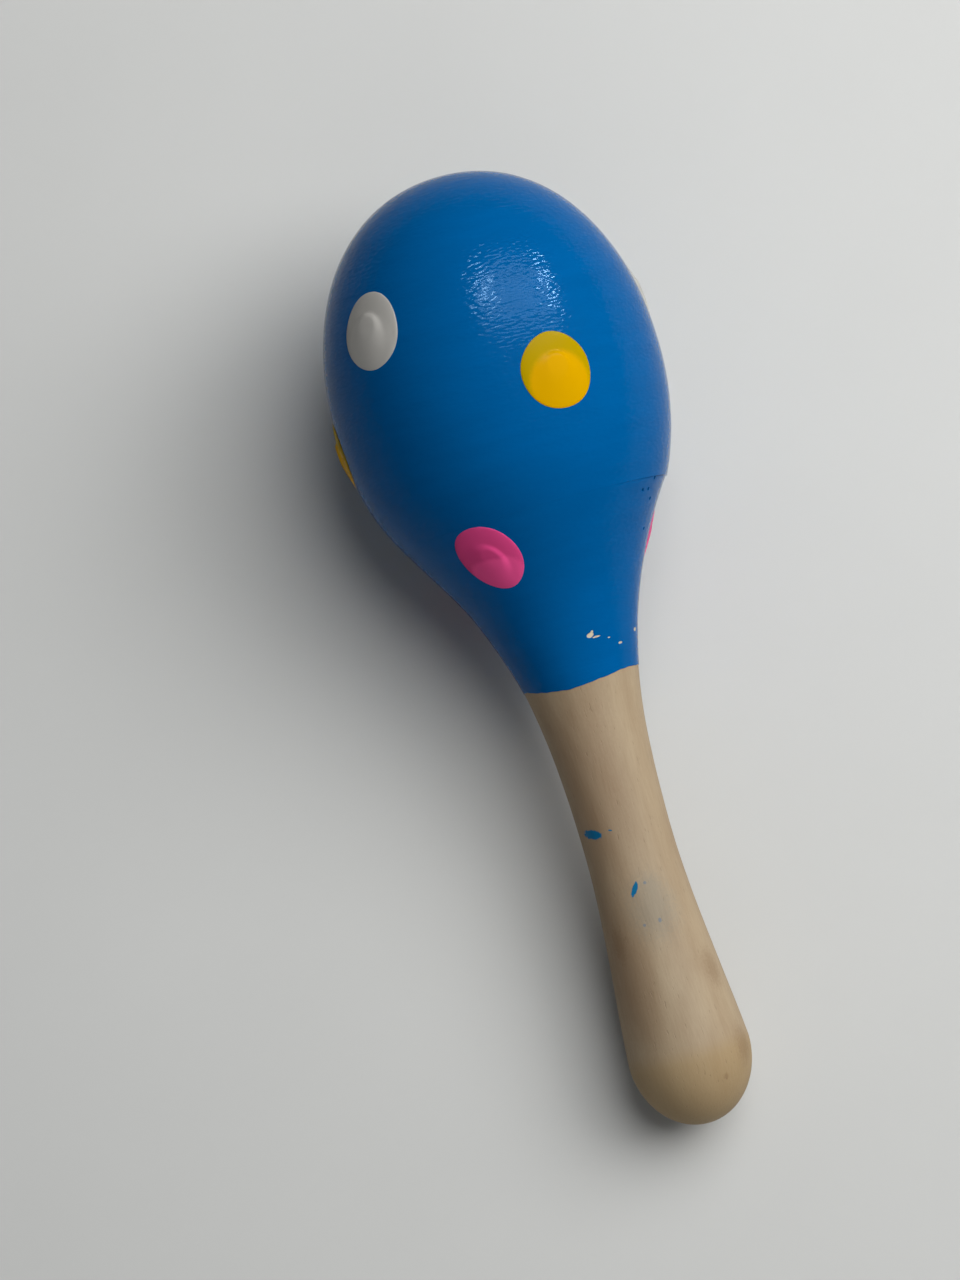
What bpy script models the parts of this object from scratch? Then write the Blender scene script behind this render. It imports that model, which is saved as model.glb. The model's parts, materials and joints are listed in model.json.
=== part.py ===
"""A small wooden maraca, lying on a table as it is put down after playing.

Two turned pieces make the body. The upper head is a cup, bored out from its mouth. The handle is
one turning with the lower, funnel-shaped part of the head, and its spigot closes the cup's bore.
Loose beads rattle in the chamber between them. Raised dots of paint sit on the outside.

Each turned piece is drawn upright, with the crown at height 0 and the handle below it. A station is
a distance down from the crown. One empty then lays everything down, on its belly and its butt.
"""

from math import atan, cos, pi, radians, sin, sqrt

import bmesh
import bpy
from mathutils import Matrix, Vector

# Outside of the turned body: lengths along the axis, from the crown unless the name says otherwise
TOTAL_LENGTH = 0.1300
CROWN_TO_WIDEST = 0.0292
CROWN_TO_SEAM = 0.0463
CROWN_TO_PAINT_LINE = 0.0694
CROWN_TO_WAIST = 0.0914
BUTT_LENGTH = 0.0097
BELLY_ARC = 0.0305

# Outside of the turned body: diameters and the few shape values between them
HEAD_DIAMETER = 0.0445
WAIST_DIAMETER = 0.0120
BUTT_DIAMETER = 0.0164
DOME_SQUARENESS = 2.15
FUNNEL_SLOPE = 0.73
GRIP_FLARE = 0.07
SEAM_STEP = 0.0002

# Chamber in the cup, and the spigot that closes it
BORE_DIAMETER = 0.0300
CROWN_WALL = 0.0065
BORE_NOSE = 0.0120
SPIGOT_LENGTH = 0.0060
SPIGOT_CHAMFER = 0.0006
FIT_GAP = 0.0003

# Loose beads, in lanes across the chamber
BEAD_DIAMETER = 0.0050
BEAD_SPACE = 0.0005
BEAD_ROWS = 3
BEADS_IN_ROW = 4

# Raised paint dots: each row is placed from the feature that it was dabbed on by eye
DOT_DIAMETER = 0.0098
DOT_HEIGHT = 0.0009
DOT_GAP = 0.0003
WHITE_ROW_ABOVE_WIDEST = 0.0090
YELLOW_ROW_BELOW_WIDEST = 0.0019
PINK_ROW_BELOW_SEAM = 0.0053

# Facets of the turned pieces, and the straight bands that touch the table
FACETS = 24
DOME_STEPS = 9
BELLY_STEPS = 4
NECK_STEPS = 11
GRIP_STEPS = 8
BUTT_STEPS = 5
NOSE_STEPS = 6
HEAD_REST_BAND = 0.0050
BUTT_REST_BAND = 0.0018

# Facets of the beads and dots (round, and from pole to pole), and what counts as one point or an edge
BEAD_FACETS = (12, 8)
DOT_FACETS = (20, 10)
SAME_POINT = 1e-6
SHARP_ANGLE = radians(40)
TOUCH_ROUNDS = 30
MM = 0.001

HEAD_RADIUS = HEAD_DIAMETER / 2
WAIST_RADIUS = WAIST_DIAMETER / 2
BUTT_RADIUS = BUTT_DIAMETER / 2
BORE_RADIUS = BORE_DIAMETER / 2
BEAD_RADIUS = BEAD_DIAMETER / 2
CROWN_TO_RIDGE = TOTAL_LENGTH - BUTT_LENGTH
CROWN_TO_SPIGOT = CROWN_TO_SEAM - SPIGOT_LENGTH

# Colours as linear red, green and blue, with a roughness
PAINT_BLUE = ((0.002, 0.135, 0.420), 0.22)
PAINT_WHITE = ((0.760, 0.750, 0.720), 0.25)
PAINT_YELLOW = ((0.720, 0.370, 0.004), 0.25)
PAINT_PINK = ((0.560, 0.045, 0.150), 0.25)
BARE_WOOD = ((0.520, 0.390, 0.250), 0.60)
BEAD_BROWN = ((0.200, 0.090, 0.035), 0.40)


def clear_scene():
    """Remove what the scene holds, so that the script can be run again."""
    for thing in list(bpy.data.objects):
        bpy.data.objects.remove(thing, do_unlink=True)


def make_material(name, look):
    """A plain Principled material of one colour and roughness."""
    colour, roughness = look
    material = bpy.data.materials.new(name)
    material.use_nodes = True
    shader = material.node_tree.nodes["Principled BSDF"]
    shader.inputs["Base Color"].default_value = (*colour, 1.0)
    shader.inputs["Roughness"].default_value = roughness
    shader.inputs["Metallic"].default_value = 0.0
    return material


# The outside, as a radius for each station
def dome_radius(station):
    """The dome over the widest ring: a slightly square ellipse."""
    reach = abs(CROWN_TO_WIDEST - station) / CROWN_TO_WIDEST
    return HEAD_RADIUS * max(0.0, 1 - reach**DOME_SQUARENESS) ** (1 / DOME_SQUARENESS)


def belly_radius(station):
    """The belly under the widest ring: an ellipse that the seam cuts off."""
    return HEAD_RADIUS * sqrt(1 - ((station - CROWN_TO_WIDEST) / BELLY_ARC) ** 2)


def blend(station, start, end):
    """A cubic between two points, each a station, a radius and a slope there."""
    start_station, start_radius, start_slope = start
    end_station, end_radius, end_slope = end
    length = end_station - start_station
    share = (station - start_station) / length
    rise = 3 * share**2 - 2 * share**3
    lean_start = share * (1 - share) ** 2
    lean_end = share**2 * (share - 1)
    ends = start_radius * (1 - rise) + end_radius * rise
    return ends + length * (start_slope * lean_start + end_slope * lean_end)


def funnel_radius(station):
    """The funnel and neck, from the seam down to the waist of the grip."""
    rim = belly_radius(CROWN_TO_SEAM) - SEAM_STEP
    return blend(station, (CROWN_TO_SEAM, rim, -FUNNEL_SLOPE), (CROWN_TO_WAIST, WAIST_RADIUS, 0.0))


def grip_radius(station):
    """The grip, swelling from the waist to the ridge round the butt."""
    return blend(station, (CROWN_TO_WAIST, WAIST_RADIUS, 0.0), (CROWN_TO_RIDGE, BUTT_RADIUS, GRIP_FLARE))


def head_radius(station):
    """Any station of the painted head."""
    if station < CROWN_TO_WIDEST:
        return dome_radius(station)
    if station < CROWN_TO_SEAM:
        return belly_radius(station)
    return funnel_radius(station)


# How it lies: one line touches the belly's ellipse and the butt's ellipse
def ellipse_reach(radius, half_length, slope):
    """How far out a line of this slope passes an ellipse's centre when it touches the ellipse."""
    return sqrt(radius**2 + (half_length * slope) ** 2)


def resting_line():
    """The slope of the shared touching line, and its distance out at the widest ring."""
    slope = 0.0
    for _ in range(TOUCH_ROUNDS):
        belly = ellipse_reach(HEAD_RADIUS, BELLY_ARC, slope)
        butt = ellipse_reach(BUTT_RADIUS, BUTT_LENGTH, slope)
        slope = -(belly - butt) / (CROWN_TO_RIDGE - CROWN_TO_WIDEST)
    return slope, ellipse_reach(HEAD_RADIUS, BELLY_ARC, slope)


REST_SLOPE, REST_REACH = resting_line()
REST_ANGLE = atan(-REST_SLOPE)
HEAD_TOUCH = CROWN_TO_WIDEST - BELLY_ARC**2 * REST_SLOPE / REST_REACH
BUTT_REACH = ellipse_reach(BUTT_RADIUS, BUTT_LENGTH, REST_SLOPE)
BUTT_TOUCH = CROWN_TO_RIDGE - BUTT_LENGTH**2 * REST_SLOPE / BUTT_REACH


def line_radius(station):
    """The touching line's distance from the axis."""
    return REST_REACH + REST_SLOPE * (station - CROWN_TO_WIDEST)


def rest_band(touch, width):
    """The two ends of a straight band that lies on the touching line."""
    ends = (touch - width / 2, touch + width / 2)
    return [(station, line_radius(station)) for station in ends]


# Outlines, each a list of stations and radii from the top down
def dome_outline():
    """From the crown to just above the widest ring, closer together near the crown."""
    power = 2 / DOME_SQUARENESS
    turns = [radians(90) * step / DOME_STEPS for step in range(1, DOME_STEPS + 1)]
    stations = [CROWN_TO_WIDEST * (1 - cos(turn) ** power) for turn in turns]
    return [(0.0, 0.0)] + [(station, dome_radius(station)) for station in stations]


def belly_outline(end):
    """The rest band, then the belly down to the end station."""
    band = rest_band(HEAD_TOUCH, HEAD_REST_BAND)
    start = band[-1][0]
    stations = [start + (end - start) * step / BELLY_STEPS for step in range(1, BELLY_STEPS + 1)]
    return band + [(station, belly_radius(station)) for station in stations]


def funnel_outline(start):
    """The funnel and neck from the start station, with a ring on the paint line."""
    spacing = (CROWN_TO_WAIST - start) / NECK_STEPS
    stations = [start + spacing * step for step in range(NECK_STEPS + 1)]
    nearest = min(stations[1:-1], key=lambda station: abs(station - CROWN_TO_PAINT_LINE))
    stations[stations.index(nearest)] = CROWN_TO_PAINT_LINE
    return [(station, funnel_radius(station)) for station in stations]


def grip_outline():
    """The grip below the waist, then the round butt with its rest band."""
    length = CROWN_TO_RIDGE - CROWN_TO_WAIST
    stations = [CROWN_TO_WAIST + length * step / GRIP_STEPS for step in range(1, GRIP_STEPS + 1)]
    grip = [(station, grip_radius(station)) for station in stations]
    band = rest_band(BUTT_TOUCH, BUTT_REST_BAND)
    first = (band[-1][0] - CROWN_TO_RIDGE) / BUTT_LENGTH
    shares = [first + (1 - first) * sin(radians(90) * step / BUTT_STEPS) for step in range(1, BUTT_STEPS)]
    butt = [(CROWN_TO_RIDGE + BUTT_LENGTH * share, BUTT_RADIUS * sqrt(1 - share**2)) for share in shares]
    return grip + band + butt + [(TOTAL_LENGTH, 0.0)]


def bore_outline():
    """The cup's chamber, from its mouth up to the round nose of the bore."""
    nose_start = CROWN_WALL + BORE_NOSE
    turns = [radians(90) * step / NOSE_STEPS for step in range(NOSE_STEPS + 1)]
    nose = [(nose_start - BORE_NOSE * sin(turn), BORE_RADIUS * cos(turn)) for turn in turns]
    return [(CROWN_TO_SEAM, BORE_RADIUS)] + nose[:-1] + [(CROWN_WALL, 0.0)]


def turn_outline(name, outline):
    """Turn an outline round the axis. Its facets, not its corners, lie on the outline's radius."""
    stretch = 1 / cos(pi / FACETS)
    shape = bmesh.new()
    first_angle = Matrix.Rotation(pi / FACETS, 3, "Z")
    corners = [Vector((radius * stretch, 0, -station)) for station, radius in outline]
    points = [shape.verts.new(first_angle @ place) for place in corners]
    edges = [shape.edges.new(pair) for pair in zip(points, points[1:])]
    bmesh.ops.spin(
        shape, geom=points + edges, cent=(0, 0, 0), axis=(0, 0, 1), angle=2 * pi, steps=FACETS, use_merge=True
    )
    bmesh.ops.remove_doubles(shape, verts=shape.verts, dist=SAME_POINT)
    bmesh.ops.recalc_face_normals(shape, faces=shape.faces)
    mesh = bpy.data.meshes.new(name)
    shape.to_mesh(mesh)
    shape.free()
    return mesh


def add_piece(name, mesh, materials, carrier):
    """One named sub-part, smooth where it is round, carried by the empty."""
    for material in materials:
        mesh.materials.append(material)
    mesh.shade_smooth()
    mesh.set_sharp_from_angle(angle=SHARP_ANGLE)
    piece = bpy.data.objects.new(name, mesh)
    bpy.context.collection.objects.link(piece)
    piece.parent = carrier
    return piece


def lay_down():
    """The empty that carries every piece: belly touching the table at the world's origin."""
    up = Vector((-sin(REST_ANGLE), 0, cos(REST_ANGLE)))
    to_crown = Vector((cos(REST_ANGLE), 0, sin(REST_ANGLE)))
    turn = Matrix((up, to_crown.cross(up), to_crown)).transposed()
    touch = Vector((-line_radius(HEAD_TOUCH), 0, -HEAD_TOUCH))
    carrier = bpy.data.objects.new("maraca", None)
    bpy.context.collection.objects.link(carrier)
    carrier.matrix_world = Matrix.Translation(-(turn @ touch)) @ turn.to_4x4()
    return carrier


def make_head_cup(carrier, paint):
    """The hollow upper head, closed at the crown and open at the seam."""
    mesh = turn_outline("head_cup", dome_outline() + belly_outline(CROWN_TO_SEAM) + bore_outline())
    return add_piece("head_cup", mesh, [paint], carrier)


def make_handle(carrier, wood, paint):
    """The funnel, neck and grip in one, with a spigot up into the cup. The funnel is painted."""
    spigot_radius = BORE_RADIUS - FIT_GAP
    shoulder = CROWN_TO_SEAM + FIT_GAP
    spigot = [
        (CROWN_TO_SPIGOT, 0.0),
        (CROWN_TO_SPIGOT, spigot_radius - SPIGOT_CHAMFER),
        (CROWN_TO_SPIGOT + SPIGOT_CHAMFER, spigot_radius),
        (shoulder, spigot_radius),
    ]
    mesh = turn_outline("handle", spigot + funnel_outline(shoulder) + grip_outline())
    handle = add_piece("handle", mesh, [wood, paint], carrier)
    for face in mesh.polygons:
        station = -face.center.z
        face.material_index = 1 if shoulder < station < CROWN_TO_PAINT_LINE else 0
    return handle


def make_beads(carrier, look):
    """Loose beads along the chamber's low side, by the spigot. Each has a lane of its own across it."""
    lane = BEAD_DIAMETER + BEAD_SPACE
    floor_reach = BORE_RADIUS - BEAD_RADIUS - FIT_GAP
    first_row = CROWN_TO_SPIGOT - FIT_GAP - BEAD_RADIUS
    round_count, pole_count = BEAD_FACETS
    travels = []
    for row in range(BEAD_ROWS):
        for place in range(BEADS_IN_ROW):
            across = lane * (place - (BEADS_IN_ROW - 1) / 2)
            drop = sqrt(floor_reach**2 - across**2)
            name = f"rattle_bead_{row * BEADS_IN_ROW + place + 1:02d}"
            shape = bmesh.new()
            bmesh.ops.create_uvsphere(shape, u_segments=round_count, v_segments=pole_count, radius=BEAD_RADIUS)
            mesh = bpy.data.meshes.new(name)
            shape.to_mesh(mesh)
            shape.free()
            bead = add_piece(name, mesh, [look], carrier)
            bead.location = (-drop, across, -(first_row - lane * row))
            travels.append((name, 2 * drop))
    return travels


def make_seat_cutter(carrier):
    """The painted head, grown by the dots' gap. It shapes the underside of every dot."""
    outline = dome_outline() + belly_outline(CROWN_TO_SEAM) + funnel_outline(CROWN_TO_SEAM)
    grown = [(-DOT_GAP, 0.0)]
    for before, point, after in zip(outline, outline[1:], outline[2:]):
        along = Vector((after[0] - before[0], after[1] - before[1])).normalized()
        grown.append((point[0] - DOT_GAP * along.y, point[1] + DOT_GAP * along.x))
    grown.append((grown[-1][0], 0.0))
    cutter = add_piece("dot_seat_cutter", turn_outline("dot_seat_cutter", grown), [], carrier)
    cutter.hide_render = True
    cutter.display_type = "WIRE"
    return cutter


def make_dot(name, station, angle, cutter, look, carrier):
    """A low dome of paint, sunk so that its rim meets the round head, with a small gap under it."""
    nudge = DOT_GAP
    slope = (head_radius(station + nudge) - head_radius(station - nudge)) / (2 * nudge)
    outward = Vector((1.0, 0.0, slope)).normalized()
    rim = DOT_DIAMETER / 2
    seat = head_radius(station)
    sunk = seat - sqrt(seat**2 - rim**2)
    place = Vector((seat, 0.0, -station)) + outward * (DOT_GAP - sunk)
    round_count, pole_count = DOT_FACETS
    shape = bmesh.new()
    bmesh.ops.create_uvsphere(shape, u_segments=round_count, v_segments=pole_count, radius=1.0)
    bmesh.ops.scale(shape, vec=(rim, rim, sunk + DOT_HEIGHT), verts=shape.verts)
    mesh = bpy.data.meshes.new(name)
    shape.to_mesh(mesh)
    shape.free()
    dot = add_piece(name, mesh, [look], carrier)
    turn = Matrix.Rotation(angle, 4, "Z")
    stand = outward.to_track_quat("Z", "Y").to_matrix().to_4x4()
    dot.matrix_local = turn @ Matrix.Translation(place) @ stand
    cut = dot.modifiers.new("seat on head", "BOOLEAN")
    cut.operation = "DIFFERENCE"
    cut.solver = "EXACT"
    cut.object = cutter
    return dot


def make_dots(carrier, looks):
    """Three dots of each colour, one row a colour, dabbed by hand and so a little uneven."""
    rows = {
        "white": CROWN_TO_WIDEST - WHITE_ROW_ABOVE_WIDEST,
        "yellow": CROWN_TO_WIDEST + YELLOW_ROW_BELOW_WIDEST,
        "pink": CROWN_TO_SEAM + PINK_ROW_BELOW_SEAM,
    }
    # Degrees round from the top, towards the side that shows, and millimetres off the row, down
    dabs = {
        "white": ((-45.3, -1.2), (93.5, 1.2), (205.0, 0.0)),
        "yellow": ((16.5, -0.3), (-94.7, 0.8), (142.9, 0.0)),
        "pink": ((-31.2, -0.7), (98.3, 1.5), (209.5, 0.0)),
    }
    cutter = make_seat_cutter(carrier)
    for colour, places in dabs.items():
        for number, (degrees, off_row) in enumerate(places, start=1):
            station = rows[colour] + off_row * MM
            make_dot(f"{colour}_dot_{number}", station, radians(degrees), cutter, looks[colour], carrier)


def main():
    clear_scene()
    paint = make_material("blue gloss paint", PAINT_BLUE)
    wood = make_material("bare turned wood", BARE_WOOD)
    bead_look = make_material("brown bead", BEAD_BROWN)
    dot_looks = {
        "white": make_material("white paint dot", PAINT_WHITE),
        "yellow": make_material("yellow paint dot", PAINT_YELLOW),
        "pink": make_material("pink paint dot", PAINT_PINK),
    }
    carrier = lay_down()
    make_head_cup(carrier, paint)
    make_handle(carrier, wood, paint)
    travels = make_beads(carrier, bead_look)
    make_dots(carrier, dot_looks)
    reach = (BUTT_TOUCH - HEAD_TOUCH) / cos(REST_ANGLE)
    print(f"lies at {REST_ANGLE * 180 / pi:.3f} degrees, butt touches {reach:.6f} m behind the belly")
    print(f"beads travel along {-sin(REST_ANGLE):.6f}, 0, {cos(REST_ANGLE):.6f}")
    for name, travel in travels:
        print(f"{name} travels {travel:.6f} m")


main()
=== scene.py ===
# %% [markdown]
# # A small wooden maraca
#
# This lesson dresses the plain solids of a small wooden maraca, so that it looks like the painted toy.
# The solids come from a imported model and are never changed: each visible piece is made again with finer
# shapes, takes the place of its solid and rides on the same body. Every length is in metres.

import json
from math import atan2, cos, exp, hypot, pi, radians, sin, sqrt
from random import Random

import bmesh
import bpy
from mathutils import Matrix, Vector, noise


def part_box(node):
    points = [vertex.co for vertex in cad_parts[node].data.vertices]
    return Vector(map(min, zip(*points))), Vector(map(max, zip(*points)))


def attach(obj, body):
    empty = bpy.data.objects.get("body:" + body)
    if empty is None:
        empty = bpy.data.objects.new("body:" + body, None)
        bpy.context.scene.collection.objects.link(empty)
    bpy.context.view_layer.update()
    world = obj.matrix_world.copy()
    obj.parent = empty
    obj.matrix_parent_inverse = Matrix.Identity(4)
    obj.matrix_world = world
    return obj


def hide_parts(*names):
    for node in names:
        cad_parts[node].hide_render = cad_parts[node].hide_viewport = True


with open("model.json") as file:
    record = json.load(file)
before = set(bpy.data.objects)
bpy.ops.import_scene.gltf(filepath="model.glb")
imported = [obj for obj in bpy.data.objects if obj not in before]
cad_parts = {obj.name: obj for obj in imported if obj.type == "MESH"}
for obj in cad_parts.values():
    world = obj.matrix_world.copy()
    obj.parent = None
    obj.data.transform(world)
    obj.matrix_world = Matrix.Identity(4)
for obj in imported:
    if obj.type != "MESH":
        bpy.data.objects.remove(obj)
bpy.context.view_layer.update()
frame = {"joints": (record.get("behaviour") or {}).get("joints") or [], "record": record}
MM = 0.001

# %% [markdown]
# ## Colours and nodes
#
# Colours are written as the hex codes that a paint program shows, and Blender's shaders want linear
# light, so one function turns the first into the second. A second small function adds a node, sets it
# and links it, so that each material below reads as a list of what it is made of.


# %% Two helpers for materials
def colour(code):
    """A hex code such as 3366CC as linear red, green, blue and an opaque alpha."""
    shares = [int(code[place : place + 2], 16) / 255 for place in (0, 2, 4)]
    linear = [s / 12.92 if s <= 0.04045 else ((s + 0.055) / 1.055) ** 2.4 for s in shares]
    return (*linear, 1.0)


def add(tree, kind, inputs=None, **settings):
    """Add one node. Inputs are given by name or number, each as a value or as another node's output."""
    made = tree.nodes.new(kind)
    for name, value in settings.items():
        setattr(made, name, value)
    for name, value in (inputs or {}).items():
        if isinstance(value, bpy.types.NodeSocket):
            tree.links.new(value, made.inputs[name])
        else:
            made.inputs[name].default_value = value
    return made


def start_material(name):
    """A new material, with its node tree and its Principled shader."""
    material = bpy.data.materials.new(name)
    material.use_nodes = True
    return material, material.node_tree, material.node_tree.nodes["Principled BSDF"]


print("dark blue in linear light:", [round(part, 3) for part in colour("0B3A6E")])

# %% [markdown]
# ## The turned outline
#
# The body is turned on a lathe, so one outline describes it: a radius for each station, which is the
# distance down the axis from the crown of the head. The dome is a slightly square ellipse, the belly
# below it is an ellipse, and the funnel and the grip are each one smooth cubic. Formulas keep the curve
# free of the flats that a hand-typed list of points would give.

# %% Sizes of the outside
TOTAL_LENGTH = 0.1300
CROWN_TO_WIDEST = 0.0292
CROWN_TO_SEAM = 0.0463
CROWN_TO_PAINT_LINE = 0.0694
CROWN_TO_WAIST = 0.0914
BUTT_LENGTH = 0.0097
BELLY_ARC = 0.0305
HEAD_RADIUS = 0.02225
WAIST_RADIUS = 0.0060
BUTT_RADIUS = 0.0082
DOME_SQUARENESS = 2.15
FUNNEL_SLOPE = 0.73
GRIP_FLARE = 0.07
SEAM_STEP = 0.0002
CROWN_TO_RIDGE = TOTAL_LENGTH - BUTT_LENGTH


def blend(station, start, end):
    """A cubic between two points, each a station, a radius and a slope there."""
    length = end[0] - start[0]
    share = (station - start[0]) / length
    rise = 3 * share**2 - 2 * share**3
    lean = start[2] * share * (1 - share) ** 2 + end[2] * share**2 * (share - 1)
    return start[1] * (1 - rise) + end[1] * rise + length * lean


def belly_radius(station):
    """The belly below the widest ring."""
    return HEAD_RADIUS * sqrt(1 - ((station - CROWN_TO_WIDEST) / BELLY_ARC) ** 2)


def body_radius(station):
    """The outside radius at any station from the crown to the butt."""
    waist = (CROWN_TO_WAIST, WAIST_RADIUS, 0.0)
    if station < CROWN_TO_WIDEST:
        reach = abs(CROWN_TO_WIDEST - station) / CROWN_TO_WIDEST
        return HEAD_RADIUS * max(0.0, 1 - reach**DOME_SQUARENESS) ** (1 / DOME_SQUARENESS)
    if station < CROWN_TO_SEAM:
        return belly_radius(station)
    if station < CROWN_TO_WAIST:
        rim = belly_radius(CROWN_TO_SEAM) - SEAM_STEP
        return blend(station, (CROWN_TO_SEAM, rim, -FUNNEL_SLOPE), waist)
    if station < CROWN_TO_RIDGE:
        return blend(station, waist, (CROWN_TO_RIDGE, BUTT_RADIUS, GRIP_FLARE))
    return BUTT_RADIUS * sqrt(max(0.0, 1 - ((station - CROWN_TO_RIDGE) / BUTT_LENGTH) ** 2))


for place, station in (("widest", CROWN_TO_WIDEST), ("seam", CROWN_TO_SEAM), ("waist", CROWN_TO_WAIST)):
    print(f"{place}: {2 * body_radius(station) / MM:.1f} mm across")

# %% [markdown]
# ## How it lies
#
# The pieces are drawn upright and then laid down. The tilt is not guessed: the beads in the solids slide
# square to the maraca's axis, so the direction of their joints gives the lying body's upward side, and
# the belly touches the table at the origin. Each finished mesh is moved by this one matrix, so that its
# object can stay at the origin.

# %% The lying matrix
LYING_UP = Vector(frame["joints"][0]["axis"]).normalized()
TO_CROWN = Vector((LYING_UP.z, 0, -LYING_UP.x))
LYING_TURN = Matrix((LYING_UP, TO_CROWN.cross(LYING_UP), TO_CROWN)).transposed()
LEAN = -LYING_UP.x / LYING_UP.z
TOUCH_REACH = sqrt(HEAD_RADIUS**2 + (BELLY_ARC * LEAN) ** 2)
HEAD_TOUCH = CROWN_TO_WIDEST + BELLY_ARC**2 * LEAN / TOUCH_REACH
CROWN = LYING_TURN @ Vector((belly_radius(HEAD_TOUCH), 0, HEAD_TOUCH))
LAY_DOWN = Matrix.Translation(CROWN) @ LYING_TURN.to_4x4()
print("the crown lies at, in mm:", [round(side / MM, 2) for side in CROWN])

# %% [markdown]
# ## Turning and finishing
#
# A turned piece is its outline, spun once round the axis, as the wood turns against the tool. Spinning
# leaves double points at the poles, so these are merged before the faces are turned outward. Blender has to
# guess which way is out, and on a thin curved dab it can guess wrong, so the sign of the volume is tested.
# Every piece then ends in the same way: laid down, given its materials, shaded smooth except at sharp edges
# and tied to its body, while the solid that it stands for is hidden.


# %% Turn an outline, and finish a piece
SAME_POINT = 0.001 * MM
SHARP_ANGLE = radians(50)


def close_outward(shape):
    """Merge double points and turn all faces outward."""
    bmesh.ops.remove_doubles(shape, verts=shape.verts, dist=SAME_POINT)
    bmesh.ops.recalc_face_normals(shape, faces=shape.faces)
    if shape.calc_volume(signed=True) < 0:
        bmesh.ops.reverse_faces(shape, faces=shape.faces)


def turn_on_lathe(outline, sides):
    """Spin a list of stations and radii round the axis into a closed bmesh."""
    shape = bmesh.new()
    points = [shape.verts.new((radius, 0, -station)) for station, radius in outline]
    edges = [shape.edges.new(pair) for pair in zip(points, points[1:])]
    bmesh.ops.spin(
        shape,
        geom=points + edges,
        cent=(0, 0, 0),
        axis=(0, 0, 1),
        angle=2 * pi,
        steps=sides,
        use_merge=True,
    )
    close_outward(shape)
    return shape


def finish_piece(shape, name, materials, body, node):
    """Lay a bmesh down, make it an object, and let it stand for its solid on that body."""
    bmesh.ops.transform(shape, matrix=LAY_DOWN, verts=shape.verts)
    mesh = bpy.data.meshes.new(name)
    shape.to_mesh(mesh)
    shape.free()
    for material in materials:
        mesh.materials.append(material)
    mesh.shade_smooth()
    mesh.set_sharp_from_angle(angle=SHARP_ANGLE)
    piece = bpy.data.objects.new(name, mesh)
    bpy.context.scene.collection.objects.link(piece)
    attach(piece, body)
    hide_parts(node)
    print(f"{name}: {len(mesh.polygons)} faces for {node}")


print("points closer than", SAME_POINT / MM, "mm are merged")

# %% [markdown]
# ## Where a pattern sits
#
# Wood grain runs along the maraca and brush marks run round it, but the maraca lies at a slant. A Mapping
# node of the Texture kind takes a real place, a turn and a size, and gives coordinates that count in that
# size from that place. The same node serves a grain of 0.3 mm by 2.6 mm and a single speck of paint.


# %% Coordinates along the maraca
def along_body(tree, across, along):
    """Object coordinates turned to the maraca, counted in features so many millimetres across and along."""
    where = add(tree, "ShaderNodeTexCoord").outputs["Object"]
    placed = {
        "Vector": where,
        "Location": CROWN,
        "Rotation": LYING_TURN.to_euler(),
        "Scale": (across * MM, across * MM, along * MM),
    }
    return add(tree, "ShaderNodeMapping", placed, vector_type="TEXTURE").outputs[0]


def on_surface(station, roll):
    """A point of the outside, and the turn that has X pointing out, Y round and Z to the crown."""
    radius = body_radius(station)
    out = Matrix.Rotation(roll, 3, "Z")
    return LAY_DOWN @ (out @ Vector((radius, 0, -station))), LYING_TURN @ out


print("a mark at the seam would sit at", [round(part, 4) for part in on_surface(CROWN_TO_SEAM, 0)[0]])

# %% Small marks on the surface
RAGGED_MM = 0.35
MARK_DEPTH = 2 * MM


def spot(tree, marks, rough=0.0, soft=0.25):
    """How far a point lies inside any of some small marks, from 0 outside to 1 inside.

    A mark is its station in millimetres, its roll from the top in degrees, its sizes round and along in
    millimetres, and the lean of its long side in degrees."""
    torn = {"Vector": along_body(tree, RAGGED_MM, RAGGED_MM), "Scale": 1.0, "Detail": 2.0}
    ragged = add(tree, "ShaderNodeTexNoise", torn)
    inside = None
    for station, roll, wide, long, lean in marks:
        place, turn = on_surface(station * MM, radians(roll))
        turn = turn @ Matrix.Rotation(radians(lean), 3, "X")
        placed = {
            "Vector": add(tree, "ShaderNodeTexCoord").outputs["Object"],
            "Location": place,
            "Rotation": turn.to_euler(),
            "Scale": (MARK_DEPTH, wide * MM / 2, long * MM / 2),
        }
        near = add(tree, "ShaderNodeMapping", placed, vector_type="TEXTURE")
        far = add(tree, "ShaderNodeVectorMath", {0: near.outputs[0]}, operation="LENGTH")
        pushed = {0: ragged.outputs["Fac"], 1: rough, 2: far.outputs["Value"]}
        uneven = add(tree, "ShaderNodeMath", pushed, operation="MULTIPLY_ADD")
        rim = 1 + rough / 2
        edge = {"Value": uneven.outputs[0], "From Min": rim + soft, "From Max": rim - soft}
        mark = add(tree, "ShaderNodeMapRange", edge, interpolation_type="SMOOTHSTEP").outputs[0]
        if inside is None:
            inside = mark
        else:
            inside = add(tree, "ShaderNodeMath", {0: inside, 1: mark}, operation="MAXIMUM").outputs[0]
    return inside


print("the rim of a mark is torn by noise of", RAGGED_MM, "mm")

# %% [markdown]
# ## Blue gloss enamel
#
# The head and funnel were dipped in a gloss enamel that was then brushed out. To the eye it is an even,
# deep blue under a clear, mirror-like film. Fine marks run round the body in that film and break the
# mirrored window into short sparks, while the colour below stays smooth. So the shader's coat layer is the
# film and takes the bumps, from noise that is stretched round the body. The colour below gets only a trace
# of them, which keeps the sparks crisper through the render's noise filter. Chips near the dip line show
# the wood.
# One pale mark at the right edge is a painted highlight: a glint put in as a chip of bare wood.

# %% Enamel with brush marks, chip marks and a painted highlight
BLUE_DEEP = colour("00518C")
BLUE_LIGHT = colour("005998")
CHIPPED_WOOD_AND_GLINT = colour("C9BEA6")
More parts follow.
